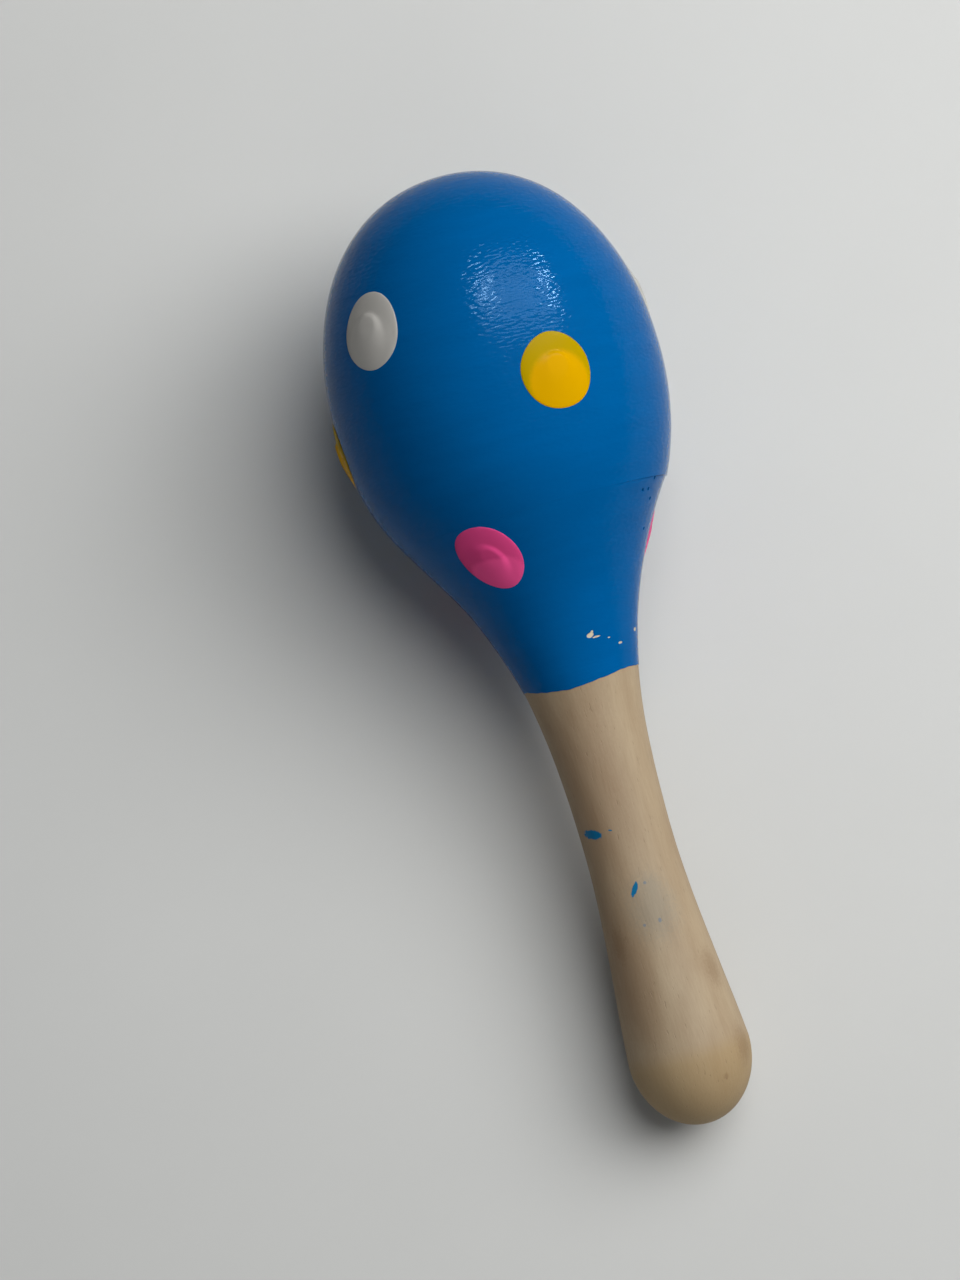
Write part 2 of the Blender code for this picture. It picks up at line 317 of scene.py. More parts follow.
# Round and along, in millimetres. Real brush marks are finer: these are as coarse as they need to show
STREAK_MM = (0.8, 0.33)
STROKE_MM = (9.0, 1.4)
STREAK_HEIGHT = 0.065 * MM
STREAK_TRACE = 0.015 * MM
STROKE_HEIGHT = 0.03 * MM
CHIP_DEPTH = 0.1 * MM
PAINT_CHIPS_AND_GLINT = (
    (63.90, 12.7, 0.95, 0.62, 10),
    (63.55, 14.4, 0.50, 0.32, 40),
    (64.30, 17.5, 1.10, 0.24, 0),
    (64.83, 29.2, 0.42, 0.16, 0),
    (65.87, 41.3, 0.75, 0.28, 0),
    # Partly a chip and partly a painted highlight: a bright glint at the right edge, painted as a pale chip
    (64.70, 67.7, 0.90, 0.50, 0),
)


def make_enamel():
    material, tree, shader = start_material("blue gloss enamel on turned wood")
    stroke = {"Vector": along_body(tree, *STROKE_MM), "Scale": 1.0, "Detail": 3.0, "Roughness": 0.55}
    strokes = add(tree, "ShaderNodeTexNoise", stroke).outputs["Fac"]
    streak = {"Vector": along_body(tree, *STREAK_MM), "Scale": 1.0, "Detail": 0.0}
    streaks = add(tree, "ShaderNodeTexNoise", streak).outputs["Fac"]
    # The chip mask also carries one painted highlight, a pale glint at the right edge
    chips_and_glint = spot(tree, PAINT_CHIPS_AND_GLINT, rough=0.5, soft=0.12)
    brushed = {0: strokes, 6: BLUE_DEEP, 7: BLUE_LIGHT}
    blue = add(tree, "ShaderNodeMix", brushed, data_type="RGBA").outputs[2]
    chipped_and_glint = add(tree, "ShaderNodeMix", {0: chips_and_glint, 6: blue, 7: CHIPPED_WOOD_AND_GLINT}, data_type="RGBA").outputs[2]
    tree.links.new(chipped_and_glint, shader.inputs["Base Color"])
    sunk = add(tree, "ShaderNodeBump", {"Height": chips_and_glint, "Distance": CHIP_DEPTH}, invert=True).outputs[0]
    trace = {"Height": streaks, "Distance": STREAK_TRACE, "Normal": sunk}
    tree.links.new(add(tree, "ShaderNodeBump", trace).outputs[0], shader.inputs["Normal"])
    fine = add(tree, "ShaderNodeBump", {"Height": streaks, "Distance": STREAK_HEIGHT}).outputs[0]
    broad = {"Height": strokes, "Distance": STROKE_HEIGHT, "Normal": fine}
    tree.links.new(add(tree, "ShaderNodeBump", broad).outputs[0], shader.inputs["Coat Normal"])
    shader.inputs["Roughness"].default_value = 0.40
    shader.inputs["IOR"].default_value = 1.50
    shader.inputs["Specular IOR Level"].default_value = 0.0
    shader.inputs["Coat Weight"].default_value = 1.0
    shader.inputs["Coat Roughness"].default_value = 0.10
    # Enamel is about 1.5. The photographed paint mirrors its room much less, so it is matched lower
    shader.inputs["Coat IOR"].default_value = 1.12
    return material


blue_enamel = make_enamel()
print("made", blue_enamel.name)

# %% [markdown]
# ## Bare turned wood
#
# The grip is bare, pale hardwood such as birch, sanded but not varnished. It is matt, with fine fibres
# along the grip, faint broad bands where the growth rings are cut, and short dark pores. Use has left the
# butt yellower, a few stains, and some specks and a smudge of the blue paint. The left side, which lies in
# shade, is also painted browner: painted shade.

# %% Colours, grain and marks of the wood
WOOD_PALE = colour("AE9B7F")
WOOD_DARK = colour("9B8569")
WOOD_BUTT = colour("A38A62")
WOOD_PORE = colour("857058")
WOOD_STAIN = colour("7E6347")
WOOD_PAINTED_SHADE = colour("84664C")
PAINT_SPECK = colour("006490")
FAINT_SPECK = colour("6A7684")
PAINT_SMUDGE = colour("7C8078")
# Across and along, in millimetres. Real fibres and pores are finer: they are as coarse as they need to show
FIBRE_MM = (0.30, 2.6)
RING_MM = (5.0, 22.0)
PORE_MM = (0.28, 1.3)
FIBRE_HEIGHT = 0.03 * MM
PORE_DEPTH = 0.06 * MM
FIBRE_SHARE = 0.25
RING_SHARE = 0.7
TONE_BASE = 0.125
BUTT_FADE_MM = (2.0, -1.0)
BUTT_SHARE = 0.6
BLUE_SPECKS = (
    (89.10, -49.4, 3.10, 1.25, -13),
    (89.10, -22.4, 0.55, 0.20, -20),
    (97.35, -12.8, 0.70, 2.00, -30),
)
FAINT_SPECKS = (
    (96.90, 1.2, 0.45, 0.40, 0),
    (102.20, -12.8, 0.40, 0.40, 0),
    (102.10, 5.8, 0.45, 0.60, 0),
)
SMUDGES = (
    (100.4, 1.5, 6.0, 7.5, 0),
    (98.0, 7.0, 3.0, 4.0, 0),
    (99.9, 12.0, 2.2, 3.4, 0),
)
# Painted shade: two broad browner patches on the left side of the grip, which lies in shade
PAINTED_SHADE_PATCHES = ((82.5, -34.0, 13.0, 26.0, 0), (107.0, -56.0, 9.0, 22.0, 0))
STAINS = (
    (104.0, -51.6, 2.0, 4.0, 0),
    (110.1, 50.8, 2.6, 4.6, 0),
    (121.0, 56.0, 2.8, 4.8, 0),
    (124.0, 25.8, 0.7, 0.8, 0),
)
print("marks of paint on the wood:", len(BLUE_SPECKS + FAINT_SPECKS + SMUDGES))


# %% Wood with fibres, rings, pores, stains and painted shade
def make_wood():
    material, tree, shader = start_material("bare turned birch")
    fibre = {"Vector": along_body(tree, *FIBRE_MM), "Scale": 1.0, "Detail": 4.0, "Roughness": 0.6}
    fibres = add(tree, "ShaderNodeTexNoise", fibre).outputs["Fac"]
    ring = {"Vector": along_body(tree, *RING_MM), "Scale": 1.0, "Detail": 2.0, "Distortion": 0.6}
    rings = add(tree, "ShaderNodeTexNoise", ring).outputs["Fac"]
    pore = {"Vector": along_body(tree, *PORE_MM), "Scale": 1.0, "Detail": 1.0}
    pores = add(tree, "ShaderNodeTexNoise", pore).outputs["Fac"]
    fine = {0: fibres, 1: FIBRE_SHARE, 2: TONE_BASE}
    tone = add(tree, "ShaderNodeMath", fine, operation="MULTIPLY_ADD").outputs[0]
    broad = {0: rings, 1: RING_SHARE, 2: tone}
    tone = add(tree, "ShaderNodeMath", broad, operation="MULTIPLY_ADD").outputs[0]
    spread = add(tree, "ShaderNodeMapRange", {"Value": tone, "From Min": 0.42, "From Max": 0.78}).outputs[0]
    wood = add(tree, "ShaderNodeMix", {0: spread, 6: WOOD_PALE, 7: WOOD_DARK}, data_type="RGBA").outputs[2]
    axis = add(tree, "ShaderNodeSeparateXYZ", {0: along_body(tree, 1.0, 1.0)}).outputs["Z"]
    fade_start, fade_end = [-CROWN_TO_RIDGE / MM + side for side in BUTT_FADE_MM]
    butt_edge = {"Value": axis, "From Min": fade_start, "From Max": fade_end}
    butt = add(tree, "ShaderNodeMapRange", butt_edge, interpolation_type="SMOOTHSTEP").outputs[0]
    butt = add(tree, "ShaderNodeMath", {0: butt, 1: BUTT_SHARE}, operation="MULTIPLY").outputs[0]
    wood = add(tree, "ShaderNodeMix", {0: butt, 6: wood, 7: WOOD_BUTT}, data_type="RGBA").outputs[2]
    pits = {"Value": pores, "From Min": 0.68, "From Max": 0.78, "To Max": 0.4}
    dark = add(tree, "ShaderNodeMapRange", pits).outputs[0]
    wood = add(tree, "ShaderNodeMix", {0: dark, 6: wood, 7: WOOD_PORE}, data_type="RGBA").outputs[2]
    # Each layer is its marks and their colour, then how strong it is, how ragged and how soft at the rim
    layers = (
        # Painted shade: the left side of the grip is made browner
        (PAINTED_SHADE_PATCHES, WOOD_PAINTED_SHADE, 0.40, 0.6, 0.8),
        (STAINS, WOOD_STAIN, 0.45, 1.2, 0.7),
        (SMUDGES, PAINT_SMUDGE, 0.30, 1.6, 0.7),
        (FAINT_SPECKS, FAINT_SPECK, 0.7, 0.6, 0.3),
        (BLUE_SPECKS, PAINT_SPECK, 1.0, 0.8, 0.12),
    )
    for marks, look, strength, rough, soft in layers:
        mask = spot(tree, marks, rough=rough, soft=soft)
        part = add(tree, "ShaderNodeMath", {0: mask, 1: strength}, operation="MULTIPLY").outputs[0]
        wood = add(tree, "ShaderNodeMix", {0: part, 6: wood, 7: look}, data_type="RGBA").outputs[2]
    tree.links.new(wood, shader.inputs["Base Color"])
    matt = {"Value": fibres, "From Min": 0.3, "From Max": 0.7, "To Min": 0.52, "To Max": 0.66}
    tree.links.new(add(tree, "ShaderNodeMapRange", matt).outputs[0], shader.inputs["Roughness"])
    raised = add(tree, "ShaderNodeBump", {"Height": fibres, "Distance": FIBRE_HEIGHT}).outputs[0]
    pitted = {"Height": dark, "Distance": PORE_DEPTH, "Normal": raised}
    grain = add(tree, "ShaderNodeBump", pitted, invert=True).outputs[0]
    tree.links.new(grain, shader.inputs["Normal"])
    shader.inputs["IOR"].default_value = 1.45
    # Sanded wood without varnish has hardly any shine
    shader.inputs["Specular IOR Level"].default_value = 0.15
    return material


bare_wood = make_wood()
print("made", bare_wood.name)

# %% [markdown]
# ## The head cup
#
# The upper head is a cup, bored out from its mouth for the beads. Its outside is the dome and the belly,
# its lower edge is broken by sandpaper, and inside is the bore with a round nose. It could be a squashed
# sphere, but a turned outline gives the true dome, the belly and the wall in one spin. A trace of
# unevenness is pushed into the surface, because a hand-sanded turning is never a perfect mirror. The seam
# to the handle was sanded and filled flush, except on one side, which kept its step. So most of the outline
# follows one smooth curve from the belly to the funnel, and both pieces are moved to it.

# %% Sanded flush at the seam
FLUSH_FROM = 0.0400
FLUSH_TO = 0.0580
STEP_ROLL = radians(85)
STEP_REACH = radians(15)
FLUSH_REACH = radians(70)
SLOPE_STEP = 0.05 * MM
SKIN = 0.0015


def slope_at(radius_at, station):
    """How fast an outline's radius grows down the axis."""
    return (radius_at(station + SLOPE_STEP) - radius_at(station - SLOPE_STEP)) / (2 * SLOPE_STEP)


FLUSH_ENDS = [
    (place, body_radius(place), slope_at(body_radius, place)) for place in (FLUSH_FROM, FLUSH_TO)
]


def sanded_radius(station, roll, radius):
    """A turned radius after sanding: on the flush curve, or as it was on the side that kept the step."""
    if not FLUSH_FROM < station < FLUSH_TO:
        return radius
    turned = abs((roll - STEP_ROLL + pi) % (2 * pi) - pi)
    share = min(1.0, max(0.0, (turned - STEP_REACH) / (FLUSH_REACH - STEP_REACH)))
    return radius + (blend(station, *FLUSH_ENDS) - radius) * share**2 * (3 - 2 * share)


def sand_flush(shape):
    """Sand the outside of a turned piece. Points well inside the outline stay."""
    for vert in shape.verts:
        out = Vector((vert.co.x, vert.co.y, 0))
        if out.length > body_radius(-vert.co.z) - SKIN:
            radius = sanded_radius(-vert.co.z, atan2(out.y, out.x), out.length)
            vert.co += out.normalized() * (radius - out.length)


print(f"flush curve at the seam: {2 * blend(CROWN_TO_SEAM, *FLUSH_ENDS) / MM:.2f} mm across")

# %% Outline of the cup
BORE_RADIUS = 0.0150
CROWN_WALL = 0.0065
BORE_NOSE = 0.0120
EDGE_ROUND = 0.00002
LATHE_SIDES = 208
DOME_STEPS = 46
BELLY_STEPS = 30
NOSE_STEPS = 10
EDGE_STEPS = 4
UNEVEN = 0.00004
UNEVEN_MM = 9.0


def dome_stations():
    """Stations from the crown to the widest ring, closer together where the dome curves hard."""
    power = 2 / DOME_SQUARENESS
    turns = [radians(90) * step / DOME_STEPS for step in range(DOME_STEPS + 1)]
    return [CROWN_TO_WIDEST * (1 - cos(turn) ** power) for turn in turns]


def quarter(centre, start, end):
    """A quarter circle of the edge's size, as stations and radii, between two angles from outward."""
    station, radius = centre
    turns = [radians(start + (end - start) * step / EDGE_STEPS) for step in range(EDGE_STEPS + 1)]
    return [(station + EDGE_ROUND * sin(turn), radius + EDGE_ROUND * cos(turn)) for turn in turns]


def sand_by_hand(shape, amount):
    """Push each point in or out from the axis a little, by a smooth noise."""
    for vert in shape.verts:
        swell = amount * noise.noise(vert.co / (UNEVEN_MM * MM))
        out = Vector((vert.co.x, vert.co.y, 0))
        if out.length > EDGE_ROUND:
            vert.co += out.normalized() * swell


def cup_outline():
    edge_station = CROWN_TO_SEAM - EDGE_ROUND
    span = edge_station - CROWN_TO_WIDEST
    belly = [CROWN_TO_WIDEST + span * step / BELLY_STEPS for step in range(1, BELLY_STEPS + 1)]
    outside = [(station, body_radius(station)) for station in dome_stations() + belly]
    edge = quarter((edge_station, belly_radius(edge_station) - EDGE_ROUND), 0, 90)
    nose_start = CROWN_WALL + BORE_NOSE
    turns = [radians(90) * step / NOSE_STEPS for step in range(NOSE_STEPS + 1)]
    nose = [(nose_start - BORE_NOSE * sin(turn), BORE_RADIUS * cos(turn)) for turn in turns[:-1]]
    return outside + edge[1:] + [(CROWN_TO_SEAM, BORE_RADIUS)] + nose + [(CROWN_WALL, 0.0)]


cup_shape = turn_on_lathe(cup_outline(), LATHE_SIDES)
sand_flush(cup_shape)
sand_by_hand(cup_shape, UNEVEN)
finish_piece(cup_shape, "painted_head_cup", [blue_enamel], "maraca_body", "head_cup")

# %% [markdown]
# ## The handle
#
# The funnel, the grip and the butt are one turning, with a hidden spigot that closes the cup. The blue
# stops at the line to which the head was dipped. That line is a real edge: a film with a thin lip, a
# little wavy, so its ring of points is moved and the faces on either side take the two finishes. Where the
# seam kept its step, some pinholes are left in the paint: single faces that are inset and sunk.

# %% Outline of the handle
FIT_GAP = 0.0003
SPIGOT_LENGTH = 0.0060
SPIGOT_CHAMFER = 0.0006
SEAM_GAP = 0.00001
FUNNEL_STEPS = 58
GRIP_STEPS = 56
GRIP_STEP_GROWTH = 1.3
BUTT_STEPS = 22
FILM = 0.00009
LIP = 0.00004
LIP_LENGTH = 0.0004
FILM_FADE = 0.0120
SHOULDER = CROWN_TO_SEAM + SEAM_GAP


def handle_radius(station):
    """The outside with its paint, which is a film that ends at the dip line."""
    below = (station - CROWN_TO_PAINT_LINE) / FILM_FADE
    bare = FILM * (1 - below) if 0 <= below < 1 else 0.0
    return body_radius(station) - bare


def handle_outline():
    spigot_radius = BORE_RADIUS - FIT_GAP
    spigot_end = CROWN_TO_SEAM - SPIGOT_LENGTH
    spigot = [
        (spigot_end, 0.0),
        (spigot_end, spigot_radius - SPIGOT_CHAMFER),
        (spigot_end + SPIGOT_CHAMFER, spigot_radius),
        (SHOULDER, spigot_radius),
    ]
    edge_station = SHOULDER + EDGE_ROUND
    edge = quarter((edge_station, handle_radius(edge_station) - EDGE_ROUND), -90, 0)
    line = CROWN_TO_PAINT_LINE
    funnel = line - LIP_LENGTH - edge_station
    above = [edge_station + funnel * step / FUNNEL_STEPS for step in range(1, FUNNEL_STEPS + 1)]
    shares = [(step / GRIP_STEPS) ** GRIP_STEP_GROWTH for step in range(GRIP_STEPS + 1)]
    below = [line + (CROWN_TO_RIDGE - line) * share for share in shares]
    turns = [radians(90) * step / BUTT_STEPS for step in range(1, BUTT_STEPS)]
    butt = [CROWN_TO_RIDGE + BUTT_LENGTH * sin(turn) for turn in turns]
    lip_radius = body_radius(line)
    lip = [(line - LIP_LENGTH / 2, lip_radius + LIP), (line - LIP_LENGTH / 8, lip_radius + LIP / 2)]
    painted = [(station, handle_radius(station)) for station in above]
    bare = [(station, handle_radius(station)) for station in below + butt]
    return spigot + edge + painted + lip + bare + [(TOTAL_LENGTH, 0.0)]


print("points in the handle's outline:", len(handle_outline()))

# %% Dip line, pinholes and the finished handle
# Waves in one turn, then their height in millimetres and where they start, in radians
DIP_WAVES = (
    (1, 0.09, -2.1),
    (2, 0.26, -1.6),
    (3, 0.24, -0.5),
    (9, 0.03, 0.9),
    (17, 0.02, 4.0),
    (29, 0.02, 1.3),
)
DIP_REACH = 0.0035
# Station in millimetres and roll from the top in degrees
PINHOLES = ((46.7, 60.7), (47.5, 57.6), (47.6, 52.9), (48.7, 64.0), (52.2, 64.6))
PINHOLE_RIM = 0.00012
PINHOLE_DEPTH = 0.0004


def wave_dip_line(shape):
    """Assign the two finishes on either side of the dip line, then make the line wavy."""
    for face in shape.faces:
        station = -face.calc_center_median().z
        face.material_index = 1 if SHOULDER < station < CROWN_TO_PAINT_LINE else 0
    for vert in shape.verts:
        roll = atan2(vert.co.y, vert.co.x)
        wave = sum(size * sin(count * roll + start) for count, size, start in DIP_WAVES) * MM
        vert.co.z += wave * exp(-(((-vert.co.z - CROWN_TO_PAINT_LINE) / DIP_REACH) ** 2))


def sink_pinholes(shape):
    """Inset the outside face nearest to each pinhole and sink it."""
    for station, roll in PINHOLES:
        radius = body_radius(station * MM)
        place = Vector((radius * cos(radians(roll)), radius * sin(radians(roll)), -station * MM))
        nearest = min(shape.faces, key=lambda face: (face.calc_center_median() - place).length)
        bmesh.ops.inset_region(shape, faces=[nearest], thickness=PINHOLE_RIM, depth=0, use_even_offset=True)
        bmesh.ops.translate(shape, verts=nearest.verts, vec=-nearest.normal * PINHOLE_DEPTH)


handle_shape = turn_on_lathe(handle_outline(), LATHE_SIDES)
sand_flush(handle_shape)
wave_dip_line(handle_shape)
sand_by_hand(handle_shape, UNEVEN)
sink_pinholes(handle_shape)
handle_finishes = [bare_wood, blue_enamel]
finish_piece(handle_shape, "turned_handle", handle_finishes, "maraca_body", "handle")

# %% [markdown]
# ## Raised paint dots
#
# Each dot is one thick dab of gloss paint, put on with the end of a dowel. It has a rounded edge, an
# uneven rim, and a low nub where the dowel lifted off. A ball squashed onto the head would be round and
# dead, so the ball's points are moved: the upper half takes the dab's height with its nub, the lower half
# follows the wood, and both are wrapped round the head.

# %% Places of the dabs
ROWS = {
    "white": CROWN_TO_WIDEST - 0.0090,
    "yellow": CROWN_TO_WIDEST + 0.0019,
    "pink": CROWN_TO_SEAM + 0.0053,
}
# Degrees round from the top, then in millimetres: off the row, across and along. Then, in degrees, the lean
# of the long side, and where the nub's steep side faces, turned from the crown's side towards the right.
# The third dab of each colour is out of sight in the photograph, so it is put about midway round the gap
# that the other two leave, and its size is a guess
DABS = {
    "white": (
        (-45.0, -1.5, 9.3, 10.4, 11, 35),
        (93.5, 1.2, 9.4, 9.8, 0, 20),
        (205.0, 0.0, 9.6, 9.6, 0, 60),
    ),
    "yellow": (
        (16.6, -0.55, 9.4, 10.0, -4, 12),
        (-94.9, 0.8, 9.2, 9.2, 0, 30),
        (142.9, 0.0, 9.5, 9.7, 0, -20),
    ),
    "pink": (
        (-31.2, -0.7, 8.1, 10.3, 16, 65),
        (101.0, 1.2, 8.0, 8.4, 0, 15),
        (209.5, 0.0, 8.6, 9.4, 0, 40),
    ),
}
print("dabs:", sum(len(dabs) for dabs in DABS.values()))

# %% Paint for the dots
# For each colour, the thick paint of the nub, and the thinner paint round it that lets the blue through.
# To the eye it is a flat, strong colour, and its lumps show by shade more than by shine
DOT_PAINTS = {
    "white": ("B7B4AE", "AFACA6"),
    "yellow": ("CC9900", "AA8D00"),
    "pink": ("EC5290", "D64580"),
}
THICK_SHARE = 0.86
THICK_DROP = 0.36
MOTTLE_MM = 2.5
MOTTLE_HEIGHT = 0.04 * MM


def make_dot_paint(name, thick, thin):
    material, tree, shader = start_material(f"thick gloss {name} paint")
    marks = []
    for degrees, off_row, wide, long, lean, _ in DABS[name]:
        station = ROWS[name] / MM + off_row + THICK_DROP * long / 2
        marks.append((station, degrees, THICK_SHARE * wide, THICK_SHARE * long, lean))
    heaped = spot(tree, marks, rough=0.1, soft=0.12)
    mixed = {0: heaped, 6: colour(thin), 7: colour(thick)}
    tint = add(tree, "ShaderNodeMix", mixed, data_type="RGBA").outputs[2]
    tree.links.new(tint, shader.inputs["Base Color"])
    cloud = {"Vector": along_body(tree, MOTTLE_MM, MOTTLE_MM), "Scale": 1.0, "Detail": 2.0}
    mottle = add(tree, "ShaderNodeTexNoise", cloud).outputs["Fac"]
    gloss = {"Value": mottle, "From Min": 0.3, "From Max": 0.7, "To Min": 0.20, "To Max": 0.30}
    tree.links.new(add(tree, "ShaderNodeMapRange", gloss).outputs[0], shader.inputs["Roughness"])
    skin = add(tree, "ShaderNodeBump", {"Height": mottle, "Distance": MOTTLE_HEIGHT})
    tree.links.new(skin.outputs[0], shader.inputs["Normal"])
    shader.inputs["IOR"].default_value = 1.50
    # Very low, because the mirrored window would lay a pale veil on the dots that the photograph lacks
    shader.inputs["Specular IOR Level"].default_value = 0.008
    return material


dot_paints = {name: make_dot_paint(name, *codes) for name, codes in DOT_PAINTS.items()}
print("made", ", ".join(paint.name for paint in dot_paints.values()))

# %% Shape of a dab
DAB_HEIGHT = 0.00032
DAB_ROOT = 0.00008
NUB_HEIGHT = 0.00028
# Waves in one turn of the rim, then their height as a share of the dab's radius
DAB_RIM_WAVES = ((2, 0.014), (3, 0.012), (5, 0.006))
# The nub's reach, its two widths and its shifts are shares of the dab's radius too
NUB_REACH = 0.46
NUB_STEEP = 0.09
NUB_SOFT = 0.90
NUB_SHIFT_ACROSS = (-0.06, 0.06)
NUB_SHIFT_ALONG = (-0.06, 0.02)
DAB_SIDES = 80
DAB_RINGS = 56


def wrap_on_head(station, roll, across, along, height):
    """The place so far across and along from a point of the head, and so high over its surface."""
    turned = roll + across / body_radius(station)

    def radius_at(place):
        return sanded_radius(place, turned, body_radius(place))

    there = station - along / sqrt(1 + slope_at(radius_at, station) ** 2)
    out = Vector((1, 0, slope_at(radius_at, there))).normalized()
    flat = Vector((radius_at(there), 0, -there)) + out * height
    return Matrix.Rotation(turned, 3, "Z") @ flat


def nub(x, y, steep_side):
    """The low bump in a dab: steep on one side, and gentle on the other."""
    far = hypot(x, y)
    facing = (1 + (x * sin(steep_side) + y * cos(steep_side)) / far) / 2 if far > 0 else 1.0
    width = NUB_SOFT + (NUB_STEEP - NUB_SOFT) * facing
    share = min(1.0, max(0.0, (NUB_REACH - far) / width + 0.5))
    return NUB_HEIGHT * share**2 * (3 - 2 * share)


def make_dab(name, station, roll, wide, long, lean, steep_side, paint, chance):
    shape = bmesh.new()
    bmesh.ops.create_uvsphere(shape, u_segments=DAB_SIDES, v_segments=DAB_RINGS, radius=1.0)
    waves = [(count, size, chance.uniform(0, 2 * pi)) for count, size in DAB_RIM_WAVES]
    shift_x = chance.uniform(*NUB_SHIFT_ACROSS)
    shift_y = chance.uniform(*NUB_SHIFT_ALONG)
    for vert in shape.verts:
        x, y, z = vert.co
        turn = atan2(y, x)
        uneven = 1 + sum(size * sin(count * turn + start) for count, size, start in waves)
        height = DAB_HEIGHT * z + nub(x - shift_x, y - shift_y, steep_side) if z >= 0 else DAB_ROOT * z
        across, along = x * uneven * wide / 2, y * uneven * long / 2
        leaning = Matrix.Rotation(lean, 2) @ Vector((across, along))
        vert.co = wrap_on_head(station, roll, leaning.x, leaning.y, height)
    close_outward(shape)
    finish_piece(shape, f"raised_{name}", [paint], "maraca_body", name)


print(f"a dab is up to {(DAB_HEIGHT + NUB_HEIGHT) / MM:.2f} mm high")

# %% Make the nine dabs
for row, (tint, dabs) in enumerate(DABS.items()):
    for number, (degrees, off_row, wide, long, lean, steep_side) in enumerate(dabs, start=1):
        make_dab(
            f"{tint}_dot_{number}",
            ROWS[tint] + off_row * MM,
            radians(degrees),
            wide * MM,
            long * MM,
            radians(lean),
            radians(steep_side),
            dot_paints[tint],
            Random(10 * row + number),
        )

# %% [markdown]
# ## Rattle beads
#
# Loose hard seeds make the sound. They are out of sight, but they move when it is shaken, so each one is
# a small shape of its own: a ball flattened a little, with a dimple where the seed grew from. A finely
# split icosphere has even faces, which a dimple needs.

# %% Seed finish
# A dry seed's coat is smooth and hard: to the eye it is brown, with fine dark flecks and a dull shine
SEED_LIGHT = colour("8C5A36")
SEED_DARK = colour("4E2E1C")
SEED_SPECK_MM = 0.7
SEED_SKIN_HEIGHT = 0.03 * MM


def make_seed_coat():
    material, tree, shader = start_material("smooth brown seed coat")
    speck = {"Vector": along_body(tree, SEED_SPECK_MM, SEED_SPECK_MM), "Scale": 1.0, "Detail": 3.0}
    specks = add(tree, "ShaderNodeTexNoise", speck).outputs["Fac"]
    flecked = {"Value": specks, "From Min": 0.35, "From Max": 0.65}
    sharp = add(tree, "ShaderNodeMapRange", flecked).outputs[0]
    mixed = add(tree, "ShaderNodeMix", {0: sharp, 6: SEED_LIGHT, 7: SEED_DARK}, data_type="RGBA").outputs[2]
    tree.links.new(mixed, shader.inputs["Base Color"])
    skin = add(tree, "ShaderNodeBump", {"Height": specks, "Distance": SEED_SKIN_HEIGHT})
    tree.links.new(skin.outputs[0], shader.inputs["Normal"])
    shader.inputs["Roughness"].default_value = 0.38
    return material


seed_coat = make_seed_coat()
print("made", seed_coat.name)

# %% Twelve seeds, each where its solid is
SEED_SPLITS = 4
SEED_FLAT = 0.93
DIMPLE_DEPTH = 0.16
DIMPLE_WIDTH = 0.45
SEED_UNEVEN = 0.05
SEED_LUMPS = 1.5
SEED_JITTER = 0.01
SEED_FILL = 0.97


def make_seed(node, body, chance):
    low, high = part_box(node)
    radius = (high - low).x / 2
    shape = bmesh.new()
    bmesh.ops.create_icosphere(shape, subdivisions=SEED_SPLITS, radius=1.0)
    for vert in shape.verts:
        jitter = Vector((chance.uniform(0, SEED_JITTER), 0, 0))
        swell = 1 - SEED_UNEVEN * abs(noise.noise(vert.co * SEED_LUMPS + jitter))
        dimple = DIMPLE_DEPTH * exp(-((hypot(vert.co.x, vert.co.y) / DIMPLE_WIDTH) ** 2))
        depth = 1 - dimple if vert.co.z > 0 else 1.0
        vert.co = Vector((vert.co.x * swell, vert.co.y * swell, vert.co.z * SEED_FLAT * depth))
    roll = Matrix.Rotation(chance.uniform(0, 2 * pi), 4, "X")
    tumble = roll @ Matrix.Rotation(chance.uniform(0, 2 * pi), 4, "Y")
    place = Matrix.Translation((low + high) / 2) @ tumble @ Matrix.Scale(radius * SEED_FILL, 4)
    bmesh.ops.transform(shape, matrix=LAY_DOWN.inverted() @ place, verts=shape.verts)
    finish_piece(shape, node.replace("rattle_bead", "rattle_seed"), [seed_coat], body, node)


for body, nodes in frame["record"]["behaviour"]["bodies"].items():
    if body != "maraca_body":
        make_seed(nodes[0], body, Random(body))

# %% [markdown]
# ## The table
#
# The maraca lies on a plain pale table top. It is only a stage, so it is one large sheet, painted matt,
# with a faint mottling that keeps it from looking like a printed colour.

# %% Table top
TABLE_PALE = colour("CCCCC9")
TABLE_DULL = colour("C8C8C5")
TABLE_HALF = 3.0
CLOUD_MM = 30.0


def make_table_finish():
    material, tree, shader = start_material("pale matt table paint")
    where = add(tree, "ShaderNodeTexCoord").outputs["Object"]
    cloud = {"Vector": where, "Scale": 1 / (CLOUD_MM * MM), "Detail": 4.0}
    clouds = add(tree, "ShaderNodeTexNoise", cloud).outputs["Fac"]
    mixed = {0: clouds, 6: TABLE_PALE, 7: TABLE_DULL}
    tint = add(tree, "ShaderNodeMix", mixed, data_type="RGBA").outputs[2]
    tree.links.new(tint, shader.inputs["Base Color"])
    shader.inputs["Roughness"].default_value = 0.80
    shader.inputs["Specular IOR Level"].default_value = 0.05
    return material


sheet = bmesh.new()
bmesh.ops.create_grid(sheet, x_segments=1, y_segments=1, size=TABLE_HALF)
table_mesh = bpy.data.meshes.new("table_top")
sheet.to_mesh(table_mesh)
sheet.free()
table_mesh.materials.append(make_table_finish())
table = bpy.data.objects.new("table_top", table_mesh)
bpy.context.scene.collection.objects.link(table)
print("table top", 2 * TABLE_HALF, "m wide")

# %% [markdown]
# ## Camera
#
# The photograph looks down steeply, from above the butt and a little to one side. A long lens from
# half a metre keeps the head and the butt in their true proportions. A camera that is tipped up from
# straight down by 10 degrees and turned about the upright axis needs no roll.

# %% Camera
CAMERA_PLACE = (-0.10931, 0.03529, 0.48020)
CAMERA_TIP = 10.4
CAMERA_TURN = -106.307
LENS_MM = 100.0
SENSOR_MM = 36.0
NEAR_CLIP = 0.01

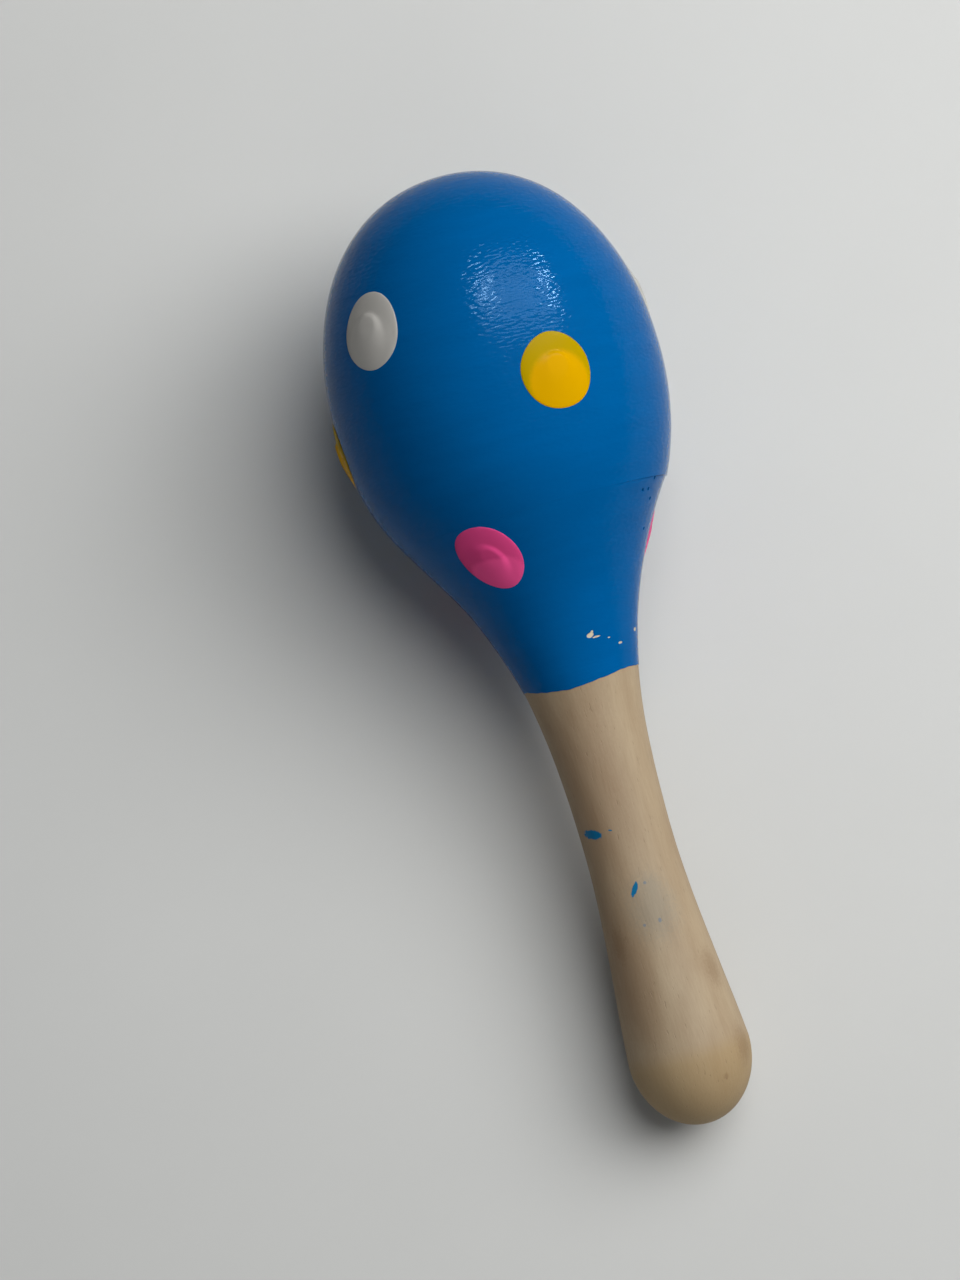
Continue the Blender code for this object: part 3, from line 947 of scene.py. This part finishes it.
camera = bpy.data.objects.new("camera", bpy.data.cameras.new("camera"))
camera.data.lens = LENS_MM
camera.data.sensor_width = SENSOR_MM
camera.data.clip_start = NEAR_CLIP
camera.location = CAMERA_PLACE
camera.rotation_euler = (radians(CAMERA_TIP), 0, radians(CAMERA_TURN))
bpy.context.scene.collection.objects.link(camera)
bpy.context.scene.camera = camera
print("camera at, in mm:", [round(side / MM) for side in camera.location])

# %% [markdown]
# ## Light
#
# Most of the light is broad and soft, as under a bright ceiling, and comes from beyond the head and from
# the right. A window adds to it from the right, and a weak fill from the near end opens the shadow under
# the butt. Lamps that wide would lay a pale veil over the head, so these three are hidden from gloss. What
# the paint mirrors is a window pane with a brighter patch at either end, tinted like the sky and seen only
# in reflections, which gives the small sparkling highlight. A dim grey surround fills the shadows, and the
# table renders at about its written colour.

# %% Lamps and surround
VIEW_UP = Vector((-sin(radians(CAMERA_TURN)), cos(radians(CAMERA_TURN)), 0))
VIEW_RIGHT = Vector((VIEW_UP.y, -VIEW_UP.x, 0))
LAMP_DISTANCE = 0.55
SURROUND = colour("3C4045")
SKY_TINT = colour("ABDCFF")[:3]
# Degrees right of the picture's top and degrees up, then metres wide and high, watts, and what it is for
LAMPS = {
    "soft_ceiling": (52, 61, 0.62, 0.62, 3.40, "light"),
    "side_window": (72, 40, 0.40, 0.40, 0.90, "light"),
    "low_fill": (170, 35, 0.50, 0.30, 0.24, "light"),
    "window_pane": (30, 57, 0.54, 0.28, 7.0, "gloss"),
    "left_window_strip": (-4, 62, 0.160, 0.05, 2.0, "gloss"),
    "right_window_strip": (43, 36, 0.060, 0.09, 2.2, "gloss"),
}
# The way the window's sill runs
PANE_SIDE = Vector((-0.09, -0.866, -0.49))


def add_lamp(name, degrees_right, degrees_up, wide, high, watts, purpose):
    """An oval lamp that faces the maraca, with its wide side along the window's sill."""
    lamp = bpy.data.lights.new(name, "AREA")
    lamp.shape = "ELLIPSE"
    lamp.size, lamp.size_y = wide, high
    lamp.energy = watts
    if purpose == "gloss":
        lamp.color = SKY_TINT
    panel = bpy.data.objects.new(name, lamp)
    level = VIEW_UP * cos(radians(degrees_right)) + VIEW_RIGHT * sin(radians(degrees_right))
    back = level * cos(radians(degrees_up)) + Vector((0, 0, sin(radians(degrees_up))))
    side = (PANE_SIDE - back * PANE_SIDE.dot(back)).normalized()
    turn = Matrix((side, back.cross(side), back)).transposed()
    panel.matrix_world = Matrix.Translation(back * LAMP_DISTANCE) @ turn.to_4x4()
    panel.visible_glossy = purpose == "gloss"
    panel.visible_diffuse = purpose == "light"
    bpy.context.scene.collection.objects.link(panel)
    print(f"{name}: {watts} W, {wide} by {high} m")


for name, settings in LAMPS.items():
    add_lamp(name, *settings)
world = bpy.data.worlds.new("surround")
world.use_nodes = True
world.node_tree.nodes["Background"].inputs["Color"].default_value = SURROUND
bpy.context.scene.world = world
bpy.context.scene.view_settings.view_transform = "Standard"
